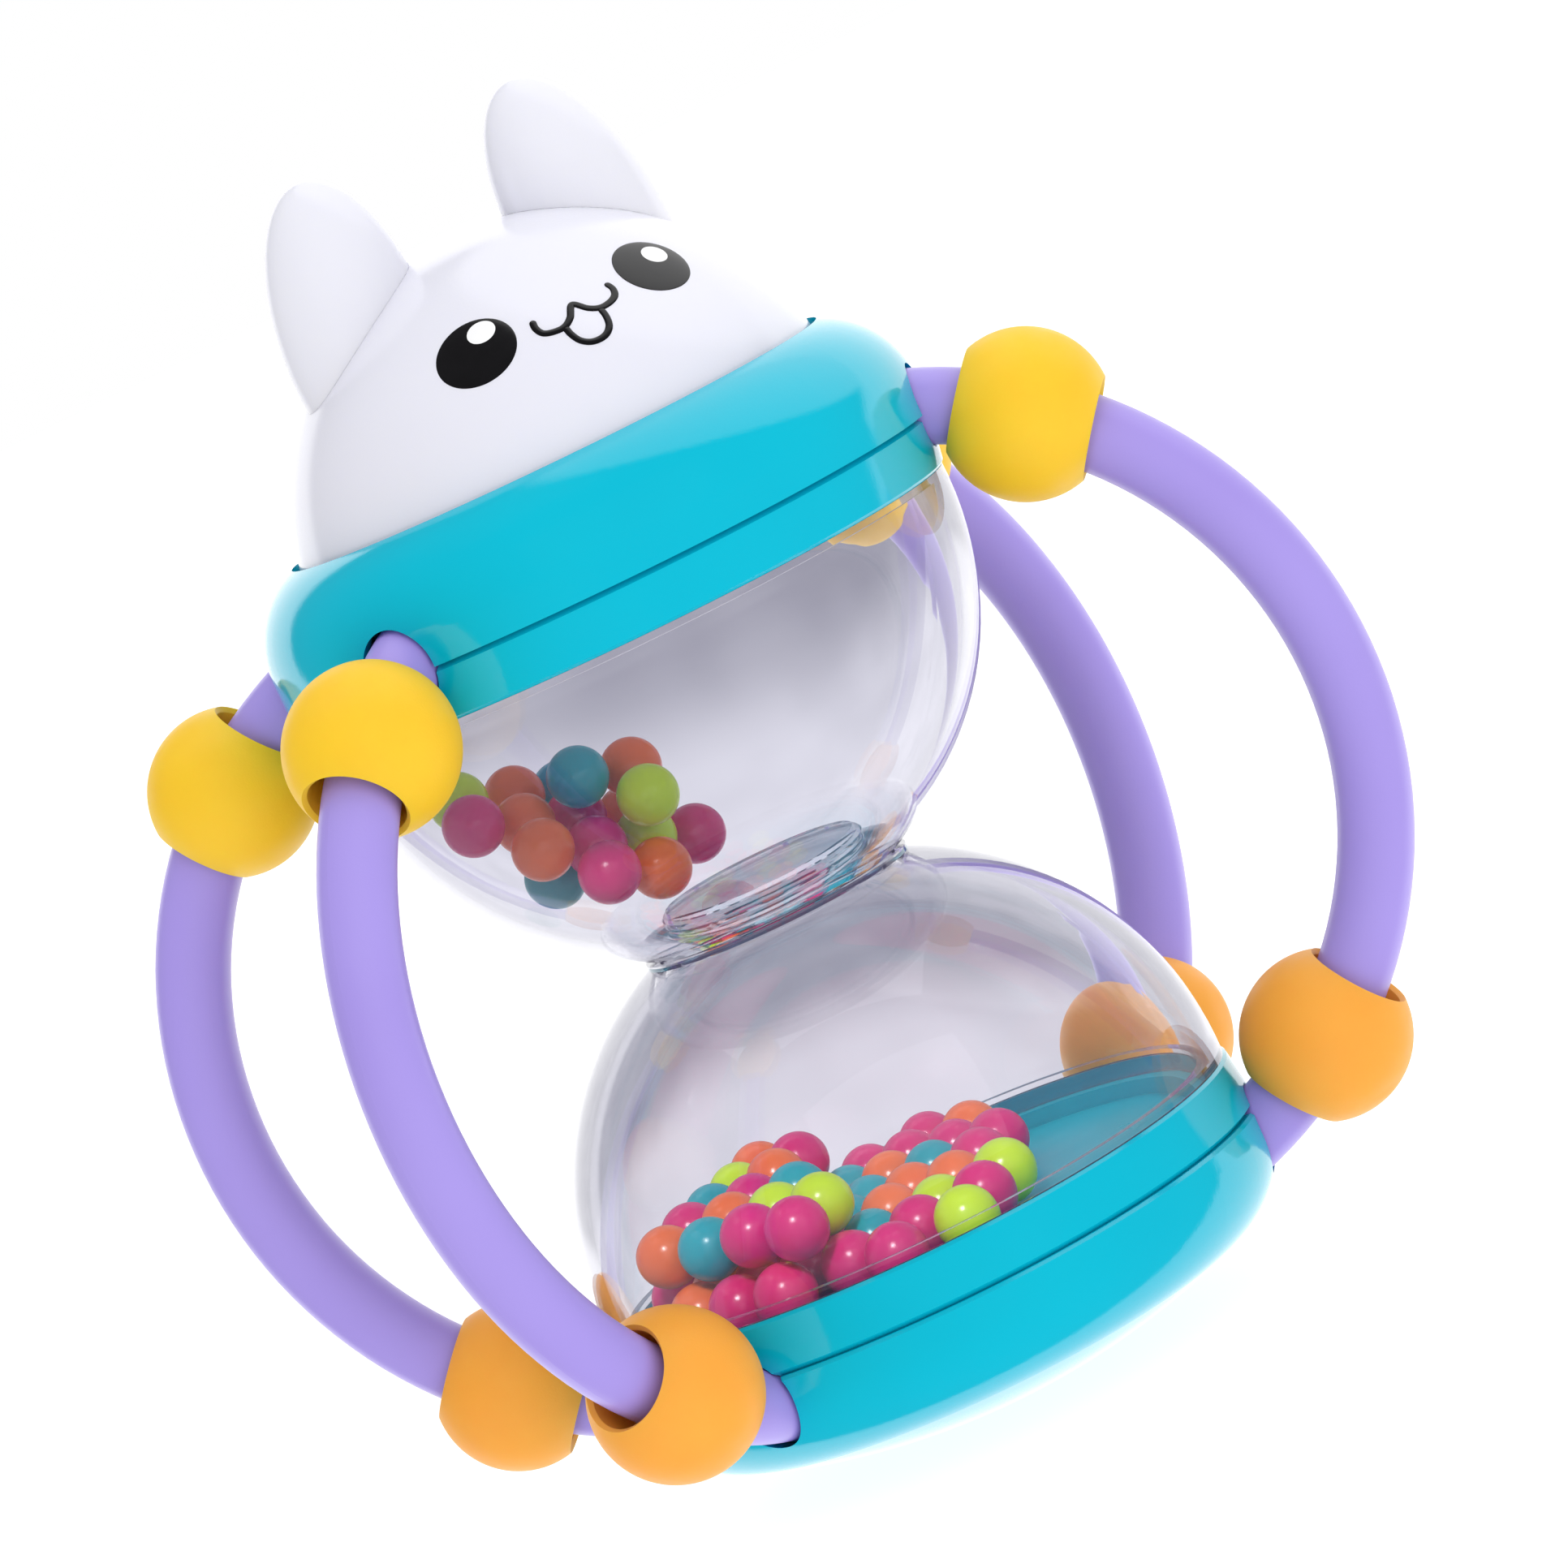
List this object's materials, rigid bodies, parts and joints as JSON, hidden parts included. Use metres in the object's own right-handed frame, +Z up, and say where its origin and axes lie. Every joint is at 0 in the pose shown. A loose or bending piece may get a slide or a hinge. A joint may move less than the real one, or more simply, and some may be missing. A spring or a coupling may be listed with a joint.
{
  "type": "baby rattle",
  "caption": "Hourglass rattle with a bunny head, clear chambers of loose pellets, and curved grip tubes that carry sliding beads.",
  "frame": {"origin": "centre of the flat spot under the base, at the bottom centre of the bounding box", "axes": "+Z up through the waist and the head, face towards -Y, +X to the right when the face is seen from the front"},
  "size_m": [0.1336, 0.0832, 0.1635],
  "materials": {
    "white_shell": "gloss",
    "white_ear": "gloss",
    "teal_shell": "gloss",
    "clear_shell": "clear gloss",
    "white_lid": "satin",
    "purple_tube": "satin",
    "yellow_bead": "matte",
    "orange_bead": "matte",
    "pellet_magenta": "satin",
    "pellet_coral": "satin",
    "pellet_teal": "satin",
    "pellet_lime": "satin"
  },
  "bodies": {
    "rattle_body": {"head_shell": "white_shell", "ear_left": "white_ear", "ear_right": "white_ear", "collar_upper": "teal_shell", "collar_ring": "teal_shell", "upper_lid": "white_lid", "upper_dome": "clear_shell", "neck_divider": "clear_shell", "lower_dome": "clear_shell", "chamber_floor": "teal_shell", "base_ring": "teal_shell", "base_bowl": "teal_shell", "handle_front_left": "purple_tube", "handle_front_right": "purple_tube", "handle_back_right": "purple_tube", "handle_back_left": "purple_tube"},
    "yellow_bead_front_left": {"yellow_bead_front_left": "yellow_bead"},
    "yellow_bead_front_right": {"yellow_bead_front_right": "yellow_bead"},
    "yellow_bead_back_right": {"yellow_bead_back_right": "yellow_bead"},
    "yellow_bead_back_left": {"yellow_bead_back_left": "yellow_bead"},
    "orange_bead_front_left": {"orange_bead_front_left": "orange_bead"},
    "orange_bead_front_right": {"orange_bead_front_right": "orange_bead"},
    "orange_bead_back_right": {"orange_bead_back_right": "orange_bead"},
    "orange_bead_back_left": {"orange_bead_back_left": "orange_bead"},
    "upper_pellets": {"upper_pellets_magenta": "pellet_magenta", "upper_pellets_coral": "pellet_coral", "upper_pellets_teal": "pellet_teal", "upper_pellets_lime": "pellet_lime"},
    "lower_pellets": {"lower_pellets_magenta": "pellet_magenta", "lower_pellets_coral": "pellet_coral", "lower_pellets_teal": "pellet_teal", "lower_pellets_lime": "pellet_lime"}
  },
  "joints": [
    {"name": "yellow_bead_front_left_slide", "type": "hinge", "parent": "rattle_body", "child": "yellow_bead_front_left", "pos_m": [-0.01871, -0.0108, 0.06255], "axis": [-0.5, 0.866, 0], "range_deg": [-43.1, 0.1]},
    {"name": "yellow_bead_front_right_slide", "type": "hinge", "parent": "rattle_body", "child": "yellow_bead_front_right", "pos_m": [0.01871, -0.0108, 0.06255], "axis": [-0.5, -0.866, 0], "range_deg": [-42.6, 0.6]},
    {"name": "yellow_bead_back_right_slide", "type": "hinge", "parent": "rattle_body", "child": "yellow_bead_back_right", "pos_m": [0.01871, 0.0108, 0.06255], "axis": [0.5, -0.866, 0], "range_deg": [-42, 1.2]},
    {"name": "yellow_bead_back_left_slide", "type": "hinge", "parent": "rattle_body", "child": "yellow_bead_back_left", "pos_m": [-0.01871, 0.0108, 0.06255], "axis": [0.5, 0.866, 0], "range_deg": [-40.8, 2.4]},
    {"name": "orange_bead_front_left_slide", "type": "hinge", "parent": "rattle_body", "child": "orange_bead_front_left", "pos_m": [-0.01871, -0.0108, 0.06255], "axis": [-0.5, 0.866, 0], "range_deg": [-2, 40.8]},
    {"name": "orange_bead_front_right_slide", "type": "hinge", "parent": "rattle_body", "child": "orange_bead_front_right", "pos_m": [0.01871, -0.0108, 0.06255], "axis": [-0.5, -0.866, 0], "range_deg": [-1, 41.8]},
    {"name": "orange_bead_back_right_slide", "type": "hinge", "parent": "rattle_body", "child": "orange_bead_back_right", "pos_m": [0.01871, 0.0108, 0.06255], "axis": [0.5, -0.866, 0], "range_deg": [-2.4, 40.4]},
    {"name": "orange_bead_back_left_slide", "type": "hinge", "parent": "rattle_body", "child": "orange_bead_back_left", "pos_m": [-0.01871, 0.0108, 0.06255], "axis": [0.5, 0.866, 0], "range_deg": [-3, 39.8]},
    {"name": "upper_pellets_swirl", "type": "hinge", "parent": "rattle_body", "child": "upper_pellets", "pos_m": [0, 0, 0.1002], "axis": [0, 0, 1], "continuous": true},
    {"name": "lower_pellets_swirl", "type": "hinge", "parent": "rattle_body", "child": "lower_pellets", "pos_m": [0, 0, 0.0266], "axis": [0, 0, 1], "continuous": true}
  ]
}
